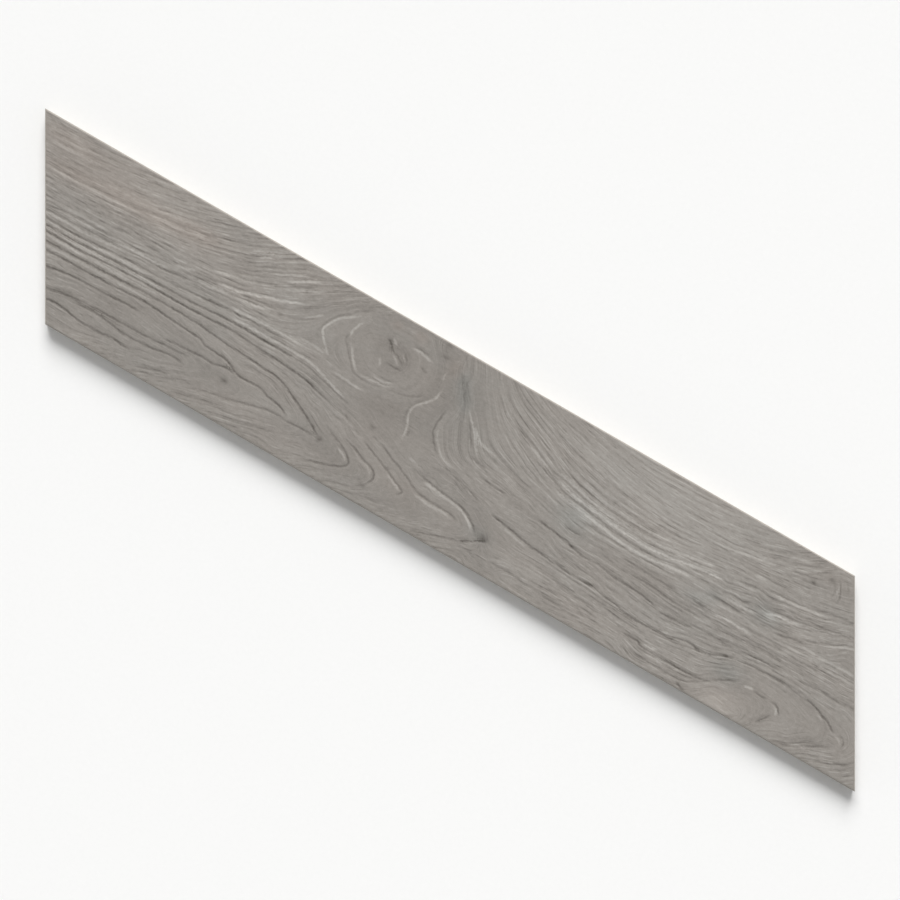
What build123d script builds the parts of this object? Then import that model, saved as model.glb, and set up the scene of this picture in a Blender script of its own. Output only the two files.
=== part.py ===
from build123d import *
import math
import os

# Chevron porcelain tile: one flat fired plank whose two ends are cut to the same slant, so that it
# meets a mirrored plank in a row of arrowheads. The printed face is up and the pressed key is on the back.
# Frame: the origin is the middle of the back, +X runs along the long edges, +Y runs across the plank
# and +Z points up, out of the face. The slanted ends lean towards -X as they go up in Y.

# Sizes, in millimetres and degrees
LONG_EDGE = 540.0    # each long edge, from corner to corner
WIDTH = 108.0        # square across the plank, from one long edge to the other
MITRE_ANGLE = 60.0   # at the sharp corners, between a long edge and a cut end
THICKNESS = 9.5      # from the back's lands to the face
FACE_BEVEL = 0.6     # ground arris all round the face
BACK_BEVEL = 0.5     # smaller arris all round the back

# Pressed key on the back: a grid of shallow pockets, so that adhesive grips the lands between them
KEY_PITCH = 19.0     # from one pocket's middle to the next, both ways
KEY_LAND = 4.0       # flat land left between two pockets
KEY_DEPTH = 0.8      # how far a pocket is pressed in
KEY_DRAFT = 35.0     # slope of a pocket's walls from upright, for the punch to leave
KEY_RIM = 7.0        # least plain rim along each long edge

NODE = "chevron_tile"


def outline():
    """The plank's outline: a parallelogram with its middle at the origin."""
    lean = WIDTH / math.tan(math.radians(MITRE_ANGLE))
    start = Vector(-LONG_EDGE / 2 + lean / 2, -WIDTH / 2)
    along = Vector(LONG_EDGE, 0)
    across = Vector(-lean, WIDTH)
    corners = [start, start + along, start + along + across, start + across]
    return make_face(Polyline(*corners, close=True))


def blank():
    """The pressed and ground plank, with the arris round its face and its back."""
    slab = extrude(outline(), amount=THICKNESS)
    slab = chamfer(slab.faces().sort_by(Axis.Z)[-1].edges(), FACE_BEVEL)
    return chamfer(slab.faces().sort_by(Axis.Z)[0].edges(), BACK_BEVEL)


def key_pocket():
    """One pocket of the key, with its mouth on the back and its walls drawn in by the draft."""
    mouth = KEY_PITCH - KEY_LAND
    return extrude(Rectangle(mouth, mouth), amount=KEY_DEPTH, taper=KEY_DRAFT)


def key_places():
    """Places of the pockets: whole rows between the rims, which run out through the cut ends.

    A pocket whose middle lies further past a cut end than half its mouth would leave only a nick, so
    it is left out.
    """
    lean = 1 / math.tan(math.radians(MITRE_ANGLE))
    rows = int((WIDTH - 2 * KEY_RIM + KEY_LAND) // KEY_PITCH)
    columns = 2 * math.ceil((LONG_EDGE + WIDTH * lean) / (2 * KEY_PITCH))
    half_mouth = (KEY_PITCH - KEY_LAND) / 2
    for place in GridLocations(KEY_PITCH, KEY_PITCH, columns, rows):
        middle = place.position
        past_end = abs(middle.X + middle.Y * lean) - LONG_EDGE / 2
        if past_end < half_mouth:
            yield place


def chevron_tile():
    """The whole tile, one solid."""
    pocket = key_pocket()
    return blank() - [place * pocket for place in key_places()]


os.makedirs("parts", exist_ok=True)
tile = chevron_tile()
export_step(tile, f"parts/{NODE}.step")
box = tile.bounding_box().size
print(f"{NODE}: {box.X:.2f} x {box.Y:.2f} x {box.Z:.2f} mm, {tile.volume / 1000:.1f} cm3")
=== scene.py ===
"""Looks of the chevron porcelain tile: its printed and embossed oak face, ground edges and pressed back."""

import math

import bmesh
import bpy
import numpy as np
from bpy.props import FloatProperty, FloatVectorProperty, IntProperty, PointerProperty
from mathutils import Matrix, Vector, kdtree


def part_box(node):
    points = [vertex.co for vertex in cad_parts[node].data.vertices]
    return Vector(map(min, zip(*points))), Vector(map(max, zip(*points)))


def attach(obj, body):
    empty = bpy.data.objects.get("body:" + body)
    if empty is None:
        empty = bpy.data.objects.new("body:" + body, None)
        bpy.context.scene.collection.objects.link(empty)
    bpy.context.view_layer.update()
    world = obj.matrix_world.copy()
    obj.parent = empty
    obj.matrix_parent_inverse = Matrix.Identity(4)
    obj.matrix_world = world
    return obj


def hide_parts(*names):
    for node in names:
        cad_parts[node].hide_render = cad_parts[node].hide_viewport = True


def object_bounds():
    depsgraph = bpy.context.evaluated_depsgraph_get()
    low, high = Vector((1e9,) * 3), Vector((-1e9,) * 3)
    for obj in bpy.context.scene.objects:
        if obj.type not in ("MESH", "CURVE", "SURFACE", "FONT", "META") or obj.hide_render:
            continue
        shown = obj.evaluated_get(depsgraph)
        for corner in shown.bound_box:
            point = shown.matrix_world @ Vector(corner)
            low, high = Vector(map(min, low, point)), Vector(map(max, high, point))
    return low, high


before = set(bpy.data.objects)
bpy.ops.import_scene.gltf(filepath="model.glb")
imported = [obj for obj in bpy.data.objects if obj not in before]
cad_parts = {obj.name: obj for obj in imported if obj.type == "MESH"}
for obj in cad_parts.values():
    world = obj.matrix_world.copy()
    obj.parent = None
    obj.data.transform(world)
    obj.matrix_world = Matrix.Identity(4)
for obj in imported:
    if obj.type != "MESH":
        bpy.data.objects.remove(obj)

bl_info = {
    "name": "Chevron porcelain tile",
    "version": (1, 0, 0),
    "blender": (4, 5, 0),
    "location": "3D View > Sidebar > Tile",
    "description": "Builds a wood-look chevron tile around its solid model and sets a plain studio",
    "category": "Object",
}

CAD_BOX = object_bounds()
NODE = "chevron_tile"
BODY = "root"
MM = 0.001
NEAR = 1e-5

# The figure of the oak print. Every place on the face is given in millimetres from the tile's middle,
# along the long edges and then across them.

# Growth lines: a ring number and points along the line. The rings between them are worked out.
GROWTH_LINES = (
    # straight grain at the upper left, which climbs to the upper edge before the knot
    (52.0, ((-299, 52), (-275, 52.5), (-250, 54))),
    (44.0, ((-295, 44.5), (-265, 45), (-240, 47.5), (-220, 50.5), (-205, 54))),
    (36.0, ((-291, 36.5), (-265, 37.5), (-235, 40), (-210, 44), (-190, 48.5), (-172, 54))),
    (28.0, ((-287, 29), (-265, 29), (-240, 31), (-215, 33.5), (-200, 36), (-185, 39), (-170, 43.5),
            (-157, 49), (-147, 54))),
    (21.0, ((-284, 23), (-255, 24), (-225, 26.5), (-200, 29), (-180, 32.5), (-162, 37.5),
            (-147, 43.5), (-135, 49), (-126, 54))),
    (15.0, ((-280, 17.5), (-250, 18.5), (-220, 19.5), (-195, 20.5), (-170, 22), (-155, 25),
            (-142, 29.6), (-131, 34.6), (-121, 39.4), (-111, 44.6), (-101, 50.2), (-95, 54))),
    (10.5, ((-278, 13), (-250, 13.5), (-225, 14.5), (-190, 15.5), (-165, 17.3), (-150, 19.3),
            (-140, 22.4), (-130, 25.6), (-120, 29.6), (-113, 33.4), (-104.4, 39.4), (-95.6, 45.4),
            (-88, 50.2), (-82, 54))),
    (6.5, ((-274, 6.8), (-258, 8.2), (-240, 8.8), (-222, 9.5), (-205, 11), (-190, 11.7), (-175, 12.5),
           (-160, 13.5), (-148, 15), (-135, 16.6), (-125, 18.2), (-118, 20.2), (-112, 23.6), (-106, 28),
           (-100, 33), (-92, 39.6), (-83, 46), (-72, 54))),
    (3.8, ((-271, 4), (-255, 4.8), (-240, 5.3), (-222, 6), (-200, 7.5), (-185, 8.6), (-160, 10),
           (-130, 11.5), (-118, 14.4), (-110, 18.4), (-104, 22.8), (-101, 26.6))),
    # lines that pass below the knot, and the nested arrowheads that point to the right
    (1.2, ((-270, 0), (-255, -0.3), (-240, 0.3), (-225, 1.5), (-210, 2.2), (-185, 3.2), (-170, 4.5),
           (-150, 6.3), (-135, 7.2), (-120, 7.3), (-100, 7.7), (-85, 7), (-60, 4), (-45, -2),
           (-32, -10), (-15, -17.5), (5, -20.5), (22, -22), (36, -26), (46, -33))),
    (-1.0, ((-268, -3.5), (-250, -3.5), (-235, -3), (-220, -2.2), (-205, -1.5), (-190, -1),
            (-170, -0.5), (-150, 1), (-140, 1.2), (-120, 1), (-105, 1.3), (-95, 0.8), (-88, -1),
            (-80, -2.5), (-72, -4.5), (-62, -7), (-45, -11.5), (-30, -15.5), (-15, -19.3), (0, -22.3),
            (12, -23.8), (22, -25.3), (28, -27.7), (33, -31), (36.5, -34.5), (38, -38), (32, -42),
            (25, -44.5), (18, -47), (10, -49.5), (0, -53))),
    (-3.0, ((-170, -2.4), (-120, -1.8), (-90, -4.5), (-62, -10.2), (-45, -14.5), (-33, -18),
            (-25, -21.5), (-15, -25.5), (-8, -29), (-2, -31), (10, -31.8), (18, -32), (23, -33.5),
            (25, -35.5), (21, -38.5), (12, -42), (0, -46), (-12, -50), (-22, -54))),
    (-5.5, ((-266, -6.5), (-250, -7), (-240, -6.8), (-225, -5.8), (-205, -4.8), (-190, -4.7),
            (-170, -4.4), (-155, -3.8), (-145, -3.2), (-135, -3.6), (-120, -4.4), (-110, -5),
            (-100, -5.8), (-90, -7.3), (-82, -9.5), (-75, -11.3), (-62, -14), (-45, -20.3),
            (-38, -23.5), (-30, -26.5), (-20, -31), (-15, -33), (-12, -35), (-14, -37.5), (-22, -42),
            (-32, -46.5), (-45, -51), (-52, -54))),
    (-8.0, ((-150, -6.5), (-110, -8), (-85, -13), (-68, -18.5), (-55, -24.3), (-48, -26.8),
            (-42, -29.5), (-36, -31), (-32, -33), (-30.5, -36), (-31, -39), (-34, -43), (-42, -46),
            (-52, -49), (-65, -53.5))),
    (-10.8, ((-150, -9), (-110, -10.5), (-88, -15.5), (-77, -19), (-68, -24), (-57, -28.5),
             (-52, -31), (-49, -33), (-47, -36), (-49, -39), (-55, -42), (-63, -44.5), (-75, -48),
             (-90, -53))),
    (-13.0, ((-263, -12), (-250, -11.5), (-235, -11), (-220, -10.6), (-205, -9.8), (-190, -9.3),
             (-175, -9.3), (-160, -9.8), (-150, -11), (-140, -11.7), (-125, -12.3), (-110, -13.2),
             (-102, -15), (-95, -18), (-88, -21.5), (-80, -25.5), (-73, -29.5), (-68, -32.3),
             (-80, -35.5), (-95, -39.5), (-110, -43.5), (-125, -47.5), (-140, -51.5), (-148, -54))),
    (-15.6, ((-261, -16.5), (-245, -16), (-225, -15.5), (-210, -14.8), (-195, -14), (-183, -14.8),
             (-165, -16), (-157, -16.5), (-152, -18.5), (-140, -19.2), (-134, -21), (-127, -24),
             (-113, -23.8), (-106, -26), (-97, -27.5), (-90, -31.5), (-103, -33.3), (-118, -36.8),
             (-128, -39.3), (-140, -42), (-152, -45.5), (-165, -49.7), (-177, -54))),
    (-18.8, ((-257, -25), (-247, -23.3), (-235, -22), (-220, -21.5), (-205, -21), (-185, -22.5),
             (-160, -26), (-140, -29), (-132, -31), (-145, -35), (-160, -40.5), (-175, -46),
             (-188, -51), (-195, -54))),
    (-21.0, ((-250, -36), (-236, -33), (-226, -31.8), (-200, -31), (-175, -32), (-160, -35.5),
             (-172, -39.5), (-188, -42.2), (-212, -45), (-235, -49), (-240, -54))),
    # the knot and the lines on both sides of it
    (2.0, ((-61, 54), (-68, 50.4), (-76, 46), (-85, 40.5), (-92, 35), (-97, 28), (-99, 23), (-96, 19),
           (-90, 15), (-80, 10.5))),
    (3.5, ((-76, 41), (-81, 34), (-83, 26), (-79, 21), (-74, 15.5), (-66, 11), (-55, 11.5), (-45, 14),
           (-37, 20), (-35, 30), (-39, 40), (-48, 46), (-62, 46), (-76, 41))),
    (5.5, ((-69, 33), (-64, 24), (-54, 20), (-46, 25), (-46, 33), (-53, 38), (-63, 38), (-69, 33))),
    (1.8, ((-22, 54), (-23, 45), (-21.5, 33), (-21, 27), (-22, 21), (-26, 16), (-30, 12), (-31, 8),
           (-30.5, 4), (-28.5, 0.5), (-28, -4), (-27, -8), (-22, -12), (-10, -15), (6, -17),
           (25, -20), (38, -23.5), (50, -28))),
    # long lines that come down from the upper edge and run out to the right
    (2.6, ((-18, 54), (-16, 43), (-12.5, 33), (-11, 22), (-13, 17), (-14, 13), (-14.5, 8), (-12, 4.5),
           (-9, 0), (-7, -5), (-3, -7.8), (4, -10), (12, -11.5), (20, -14), (28, -16.5), (40, -20.3),
           (57, -23), (75, -25.5), (100, -27.2), (116, -28.8), (140, -31), (160, -31), (175, -28),
           (190, -26), (203, -22), (233, -19.8), (255, -22.7), (270, -28.5), (280, -33), (281, -35.5),
           (277, -37.5), (262, -44.5), (248, -52))),
    (4.2, ((-11, 40), (-6, 27), (-5, 15), (0, 4), (8, -3), (22, -6.5), (40, -8), (55, -9.2),
           (75, -10.8), (90, -13.5), (108, -14.6), (125, -16.5), (148, -19), (172, -19.5),
           (192, -17.3), (210, -15.8), (230, -14.5), (264, -14.5), (273, -13.8))),
    (6.0, ((-14, 54), (-9, 38), (-3, 27), (2, 22), (8, 14.5), (12, 8), (17, 3.5), (30, 0.5), (45, -3),
           (60, -5.5), (80, -7.8), (105, -8.5), (130, -9.7), (150, -11.2), (175, -11.5), (200, -10),
           (222, -9.7), (245, -9), (272, -8))),
    (8.0, ((-10, 54), (-5, 44), (2, 33), (9, 23), (16, 14.5), (25, 9.5), (38, 6), (52, 2.5),
           (70, -1.5), (85, -4.5), (105, -4.2), (128, -4.5), (150, -5), (170, -4.8), (186, -4),
           (206, -4.3), (237, -3), (268, -2.5))),
    (11.0, ((-5, 54), (1, 46), (9, 36), (18, 26), (30, 18), (42, 12.5), (55, 8.5), (70, 5.5),
            (88, 3.5), (100, 2), (115, 1), (130, 1), (145, 2), (160, 3), (180, 2.8), (205, 2.8),
            (228, 4.5), (240, 8.5), (250, 12.5), (258, 16.5))),
    (13.5, ((0, 54), (6, 45.5), (14, 37), (19, 33), (27, 29), (38, 23.5), (47, 19), (57, 14.5),
            (70, 11), (85, 8.8), (100, 7.3), (115, 6), (130, 6.2), (145, 7.7), (165, 8.7),
            (190, 8.4), (206, 10), (225, 13), (245, 17.5), (256, 20.5))),
    (15.5, ((3, 54), (9, 46.5), (16, 40), (22, 35.8), (28, 32.4), (36, 29), (45, 25.2), (55, 20.8),
            (68, 15.8), (82, 12.6), (95, 10.8), (110, 9.5), (125, 9), (140, 10), (155, 11.5),
            (170, 13.7), (185, 16), (195, 17.3), (212, 18), (230, 20.3), (252, 26))),
    (19.0, ((7, 54), (14, 47.4), (21, 42.6), (28, 39.2), (36, 35.8), (44, 32.6), (52, 29.4),
            (62, 25.2), (74, 21), (88, 17.8), (105, 15.8), (125, 15.5), (145, 17.2), (165, 19.5),
            (185, 21.5), (200, 21.8), (220, 23.5), (235, 26), (250, 30))),
    (24.0, ((15, 54), (23, 49), (32, 45.2), (40, 42), (50, 38.2), (62, 34.2), (74, 31), (88, 28),
            (105, 25.6), (130, 24.4), (155, 26), (180, 28), (205, 29), (225, 31), (246, 35.5))),
    (30.0, ((31, 54), (40, 50.2), (50, 47.4), (60, 45.2), (72, 42.4), (85, 39.6), (100, 36.6),
            (125, 33.6), (150, 33.2), (170, 34), (185, 36), (197, 39), (210, 43), (222, 48), (230, 54))),
    (37.0, ((53, 54), (66, 51), (80, 48.6), (95, 46.8), (112, 45.6), (130, 45.2), (155, 46),
            (175, 48.5), (192, 52.5), (198, 54))),
    # flat grain along the lower edge and the eye at the lower right
    (1.3, ((62, -34), (75, -33.5), (100, -34.3), (130, -36), (160, -37), (190, -34), (210, -27),
           (235, -26), (255, -31), (262, -38), (250, -46))),
    (0.0, ((14, -54), (22, -51), (35, -47), (48, -43), (60, -41), (80, -40), (100, -40), (125, -40.2),
           (140, -41), (150, -43), (175, -43.5), (190, -42), (205, -36), (218, -32.5), (230, -32.8),
           (241, -37), (236, -42), (230, -49), (226, -54))),
    (-1.2, ((84, -54), (100, -49.5), (125, -47.5), (140, -48.5), (150, -52.5))),
    (-2.0, ((200, -45), (215, -45), (222, -50))),
    (5.0, ((292, -46), (280, -53))),
)

# Stained veins, sunk into the face: strength and points along the vein
STAINED_VEINS = (
    # lines at the left, some of which pass below the knot
    (0.55, ((-283, 6), (-270, 6.9), (-258, 8.2), (-240, 8.9), (-228, 8.8))),
    (0.45, ((-224, 9.4), (-212, 10.3), (-201, 11.1))),
    (0.6, ((-281, 3.3), (-268, 4), (-255, 4.8), (-240, 5.5), (-228, 6.1), (-218, 6.8), (-208, 7.4),
           (-197, 7.7), (-188, 8.6), (-177, 9.6))),
    (0.75, ((-280, 0), (-255, -0.3), (-240, 0.3), (-225, 1.5), (-210, 2.2), (-185, 3.2), (-170, 4.5),
            (-150, 6.3), (-135, 7.2), (-112, 7.6))),
    (0.9, ((-277, -3.6), (-250, -3.5), (-235, -3), (-220, -2.2), (-205, -1.5), (-190, -1),
           (-170, -0.5), (-150, 1), (-140, 1.2), (-120, 1), (-102, 1.3))),
    (0.5, ((-106, 1.3), (-95, 0.8), (-88, -1), (-80, -2.5), (-72, -4.5), (-62, -7))),
    (0.95, ((-275, -6.4), (-250, -7), (-240, -6.8), (-225, -5.8), (-205, -4.8), (-190, -4.7),
            (-170, -4.4), (-155, -3.8), (-145, -3.2), (-135, -3.6), (-120, -4.4), (-110, -5),
            (-100, -5.8), (-90, -7.3), (-82, -9.5), (-74, -11.6))),
    (0.85, ((-273, -13.4), (-263, -12), (-250, -11.5), (-235, -11), (-220, -10.6), (-205, -9.8),
            (-190, -9.3), (-175, -9.3), (-160, -9.8), (-150, -11), (-140, -11.7), (-125, -12.3),
            (-110, -13.2), (-102, -15), (-95, -18), (-88, -21.5), (-80, -25.5), (-73, -29.5),
            (-68, -32.3))),
    (0.9, ((-269, -17), (-245, -16), (-225, -15.5), (-210, -14.8), (-195, -14), (-183, -14.8),
           (-165, -16), (-157, -16.5), (-152, -18.5), (-140, -19.2), (-134, -21), (-127, -24),
           (-113, -23.8), (-106, -26), (-97, -27.5), (-90, -31.5))),
    (0.8, ((-266, -26.7), (-257, -25), (-247, -23.3), (-235, -22), (-220, -21.5), (-205, -20.6),
           (-193, -20.3))),
    (0.8, ((-178, -27.2), (-165, -26), (-152, -25), (-143, -25), (-136, -23.8), (-128, -24))),
    (0.65, ((-259, -38.2), (-250, -36), (-243, -34.5), (-236, -33), (-226, -31.9), (-215, -31.5),
            (-200, -31.1), (-185, -31), (-172, -29.8), (-156, -28.8))),
    (0.7, ((-232, -34.6), (-218, -33.8), (-208, -34.5), (-198, -35.8), (-188, -35.8), (-178, -35),
           (-168, -33.5), (-156, -34))),
    (0.85, ((-256, -42.6), (-248, -41.4), (-240, -40.2), (-232, -41), (-225, -42.3), (-212, -42.8),
            (-202, -41.5), (-195, -42), (-187, -42.2))),
    # straight grain at the upper left
    (0.4, ((-234, 14.4), (-226, 15), (-220, 15.6))),
    (0.4, ((-213, 14), (-207, 14.6), (-200, 15.4))),
    (0.5, ((-190, 12), (-182, 12.5), (-176, 13.1), (-170, 14.4), (-160, 15.6))),
    (0.35, ((-152, 17), (-144, 18.4), (-136, 19.6), (-127, 20.6))),
    (0.4, ((-120, 18.8), (-114, 21.4), (-108, 24.9), (-102, 29.4))),
    (0.4, ((-131, 33.6), (-126, 36), (-120, 38.8), (-113, 42))),
    (0.45, ((-150, 44.6), (-144, 47.4), (-138, 49.4))),
    (0.4, ((-163, 42.8), (-156, 46), (-150, 48.8))),
    (0.4, ((-190, 36.8), (-184, 38.4), (-178, 40.2))),
    (0.3, ((-285, 27.2), (-272, 27.7), (-260, 28.6), (-250, 29.4), (-240, 29.9), (-228, 31.5),
           (-217, 32.7), (-203, 34.4), (-190, 36))),
    (0.3, ((-297, 48.3), (-286, 48.7), (-275, 49.3))),
    (0.3, ((-269, 46.8), (-262, 47.1), (-256, 47.4))),
    (0.3, ((-294, 45.3), (-284, 45.4), (-275, 45.8))),
    (0.3, ((-292, 41.8), (-277, 42.1), (-265, 43.2), (-256, 44.3), (-248, 45.6), (-240, 46.9),
           (-230, 48.3), (-218, 49.2))),
    (0.3, ((-289, 38.5), (-274, 38), (-262, 38.3), (-253, 38.9))),
    (0.3, ((-290, 35.9), (-277, 35.9), (-264, 35.2), (-255, 35.5))),
    (0.25, ((-284, 23.2), (-270, 23.4), (-257, 24.6))),
    (0.3, ((-243, 39.6), (-230, 40.2), (-220, 41.4))),
    (0.35, ((-186, 46.6), (-181, 47.6), (-176, 48.8))),
    # arrowheads
    (0.6, ((-90, -32), (-103, -33), (-110, -34.6), (-118, -36.5), (-128, -39), (-140, -41.8),
           (-152, -45))),
    (0.6, ((-99, -33), (-85, -32.4), (-75, -32), (-68, -32.5))),
    (0.65, ((-70, -23), (-57, -28.5), (-52, -31), (-49, -33), (-47, -36), (-49, -39), (-55, -42),
            (-63, -44.5), (-73, -47.7))),
    (0.6, ((-59, -23.3), (-48, -26.8), (-42, -29.5), (-36, -31), (-32, -33), (-30.5, -36),
           (-31, -39), (-34.5, -43.5))),
    (0.6, ((-47, -19.5), (-38, -23.5), (-30, -26.5), (-20, -31), (-12, -35), (-17, -39))),
    (0.65, ((-38, -16.2), (-25, -21.5), (-15, -25.5), (-8, -29), (-2, -31), (10, -31.8), (18, -32),
            (23, -33.5), (24.5, -36))),
    (0.7, ((-14, -19.6), (0, -22.3), (12, -23.8), (22, -25.2), (28, -27.7), (33, -31), (38, -36))),
    (0.65, ((40, -38), (32, -42), (25, -44.5), (18, -47), (10, -49.5), (1, -52.5))),
    (0.9, ((46, -34.6), (41, -37), (36, -40), (29, -43.2))),
    (0.45, ((-184, -49.5), (-172, -46), (-160, -42.4))),
    (0.35, ((-160, -52.6), (-145, -48.5), (-128, -44))),
    (0.35, ((-122, -49.5), (-104, -45), (-88, -40.5))),
    # long lines to the right
    (0.6, ((-2, -9.3), (6, -10.9), (11, -12), (19.5, -14.3), (26, -16.2), (33, -18.4))),
    (0.55, ((21, -4.2), (27, -5.1), (32, -5.8), (37, -6.1), (44, -6.5))),
    (0.75, ((38, -20), (48, -21.6), (57, -23), (66, -24.8), (75, -25.6), (88, -26.6), (100, -27.4),
            (113, -27))),
    (0.85, ((115, -28.8), (125, -29.3), (133, -30.7), (142, -31.4), (152, -31.2), (162, -30.9),
            (172, -29.3))),
    (0.75, ((170, -27.2), (177, -27.5), (181, -28.3), (187, -27.5), (192, -26), (197, -23.9),
            (205, -21.9))),
    (0.4, ((202, -22.5), (210, -21.2), (220, -20.4), (235, -20), (250, -21))),
    (0.8, ((246, -20.9), (256, -22.8), (262, -25), (268, -27.5), (272, -30), (276, -31.6))),
    (0.4, ((276, -30.2), (280, -31.3), (281.5, -33.5), (281, -37))),
    (0.55, ((279, -37), (272, -41), (268, -43), (263, -46), (257, -49), (249, -52.6))),
    (0.75, ((62, -9.2), (75, -10.8), (85, -12), (90, -13.7), (100, -14.8), (108, -14.5), (115, -16),
            (127, -16.6), (140, -17.3), (150, -19.3))),
    (0.8, ((149, -20.7), (160, -20.3), (167, -19.9), (174, -19.2))),
    (0.65, ((189, -18), (200, -17.1))),
    (0.7, ((200, -17.7), (208, -16.5), (214, -15.6), (222, -15.3), (232, -14.5))),
    (0.35, ((238, -14.6), (248, -14.3), (257, -13.8), (264, -14.7), (275, -13.8))),
    (0.5, ((103, -7.8), (116, -9.4))),
    (0.75, ((126, -9.3), (142, -10.2), (150, -11.1), (162, -11.4), (178, -11.5))),
    (0.45, ((180, -11.2), (195, -10.9), (210, -10), (222, -9.4), (226, -10.2), (227.5, -11.8))),
    (0.7, ((78, -5), (92, -5.3))),
    (0.65, ((116, -4.2), (128, -4.5), (140, -4.8), (153, -5))),
    (0.6, ((156, -4.3), (168, -4.9), (180, -4.6))),
    (0.4, ((235, -3), (252, -3), (269, -2.6))),
    (0.5, ((8, 43.5), (15, 36.5), (19, 33), (26, 30.3))),
    (0.35, ((28, 36.4), (34, 34.4), (40, 32.2), (47, 29.8), (54, 27.2))),
    (0.35, ((24, 31.4), (30, 30), (36, 28.2), (44, 26.2))),
    (0.3, ((25, 44), (31, 42), (38, 39), (45, 36))),
    (0.3, ((50, 47.6), (58, 46.2), (66, 44.4), (74, 42.4))),
    (0.6, ((43, 20.8), (55, 16.5), (66, 12.8), (72, 11.5), (80, 10.2), (92, 8.6), (104, 7.2),
           (116, 6), (128, 5.8), (138, 6.4), (150, 8.3))),
    (0.5, ((54, 20.6), (60, 18.8), (70, 17), (80, 14.6), (92, 12.6), (106, 11.4), (120, 10.9),
           (132, 11.2), (146, 13))),
    (0.5, ((54, 25.6), (60, 23.6), (66, 21.8), (71, 20.6), (79, 19.4), (92, 16.6), (106, 15.3),
           (120, 14.9), (134, 15.4))),
    (0.45, ((98, 23.8), (103, 23.6), (108, 23))),
    (0.35, ((82, 28.4), (88, 27.6), (93, 26.6))),
    (0.4, ((168, 3.5), (174, 3), (180, 2.7), (187, 2.3), (196, 2.6))),
    (0.35, ((180, 8.3), (190, 8.7), (200, 8.5))),
    (0.5, ((88, 3.4), (100, 2), (110, 1.5), (120, 0.9), (132, 1.2), (145, 2.4))),
    (0.6, ((203, 12.4), (210, 13.1), (216, 13.8), (222, 14.8), (229, 15.9), (236, 17.7), (243, 19.2),
           (250, 20.8), (264, 24))),
    (0.35, ((199, 22.4), (207, 22.9), (214, 23.4), (224, 24.6))),
    (0.45, ((228, 6.5), (236, 8.3), (244, 10.6))),
    (0.4, ((216, -3.8), (222, -4.4), (227, -4.3))),
    (0.6, ((242, 11.5), (248, 14.2))),
    (0.55, ((227, 25.4), (236, 27.2), (242, 28.4), (251, 29.6), (261, 31.6))),
    (0.6, ((213, 2.3), (218, 2.6), (224, 3.8), (230, 4.8), (237, 4.6))),
    # the small knot at the upper right
    (0.5, ((232, 48.4), (234.5, 45), (236.3, 41.5), (237.8, 37.5), (237.2, 33))),
    (0.4, ((230, 45.6), (233, 41), (233.6, 38), (232.2, 34.8))),
    (0.3, ((235, 50), (238.4, 47), (241.6, 42))),
    (0.35, ((212.5, 39.6), (218, 42.6), (223, 45.8))),
    # the eye at the lower right and the flat grain along the lower edge
    (0.8, ((136, -41.1), (148, -41.5), (152, -43), (160, -43.3), (175, -43.2), (185, -43), (192, -42),
           (199, -40))),
    (0.75, ((195, -40.2), (200, -37.6), (205, -35.2), (212, -32.2))),
    (0.85, ((220, -32.6), (226, -33.2), (232, -33))),
    (0.75, ((232, -32.8), (237, -33.8), (240, -36.3), (241.3, -39.5))),
    (0.95, ((237.5, -39.5), (234.5, -43.5), (232, -46.5), (230.3, -49.6))),
    (0.6, ((140, -48.2), (146, -50.5), (151, -53.6))),
    (0.7, ((179, -50.8), (183, -51.8), (187, -53.6))),
    (0.7, ((279.5, -46.6), (285, -45), (290.5, -42.3))),
    (0.4, ((50, -45), (62, -44.2), (75, -45), (95, -46.5), (114, -47))),
    (0.35, ((73, -34.3), (90, -35.3), (106, -36))),
    (0.35, ((110, -33), (125, -32.8), (142, -33.6))),
    # the knot and the lines round it
    (0.4, ((-101, 21.8), (-99.6, 25), (-97.5, 30), (-93.5, 35.6), (-86, 41))),
    (0.4, ((-90, 39.8), (-84, 43.8), (-76, 49))),
    (0.4, ((-84.8, 30), (-84, 25.5), (-80.5, 21.5), (-77, 17.5), (-74, 14.4), (-70, 10.9), (-62, 10.2),
           (-50, 11))),
    (0.7, ((-64, 38.6), (-60, 36), (-56, 32.6), (-53, 31))),
    (0.5, ((-56, 33.4), (-53, 31.4), (-50.3, 30), (-47, 27.6))),
    (0.45, ((-50.6, 34.8), (-48.6, 32.8), (-46.6, 31.4))),
    (0.35, ((-61.4, 36), (-59.8, 34), (-58.6, 31.6))),
    (0.3, ((-59, 16.6), (-53, 16.2), (-47, 17))),
    (0.6, ((-58.5, 25.4), (-52, 25), (-45.5, 25.4))),
    (0.35, ((-63, 13.6), (-55, 13.2), (-47, 15.3))),
    (0.35, ((-50, 11.8), (-42, 13.2), (-36, 15), (-31, 17.6), (-26.6, 21))),
    (0.4, ((-50, 41.4), (-43, 41.6), (-34, 40.4))),
    (0.4, ((-39, 33.6), (-35.5, 31.8), (-32.5, 31.4))),
    (0.35, ((-84, 3.8), (-74, 3.6), (-64, 2.8))),
    # between the knot and the arrowheads
    (0.25, ((-24.6, 21.6), (-28, 16.6), (-32, 11.2), (-32.6, 7), (-31.8, 2.6), (-30.8, -2))),
    (0.4, ((-26, -1), (-25.2, -6))),
    (0.5, ((-13, 20.5), (-13.6, 16), (-14.2, 11), (-14, 6), (-12.6, 2.4), (-9.5, -1.6), (-6.5, -4.8),
           (-3.5, -7.4))),
    (0.5, ((0, 21.4), (3, 17.7), (6, 13.3), (8.6, 9.6), (11, 5))),
    (0.45, ((9.6, 5), (14, 2.2), (20, 1.4), (28, 1.3))),
    (0.35, ((-17.6, 44), (-13, 37.6), (-9, 31.5), (-4, 24.4))),
    (0.3, ((-13, 41), (-7.5, 34), (-1.5, 28))),
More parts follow.
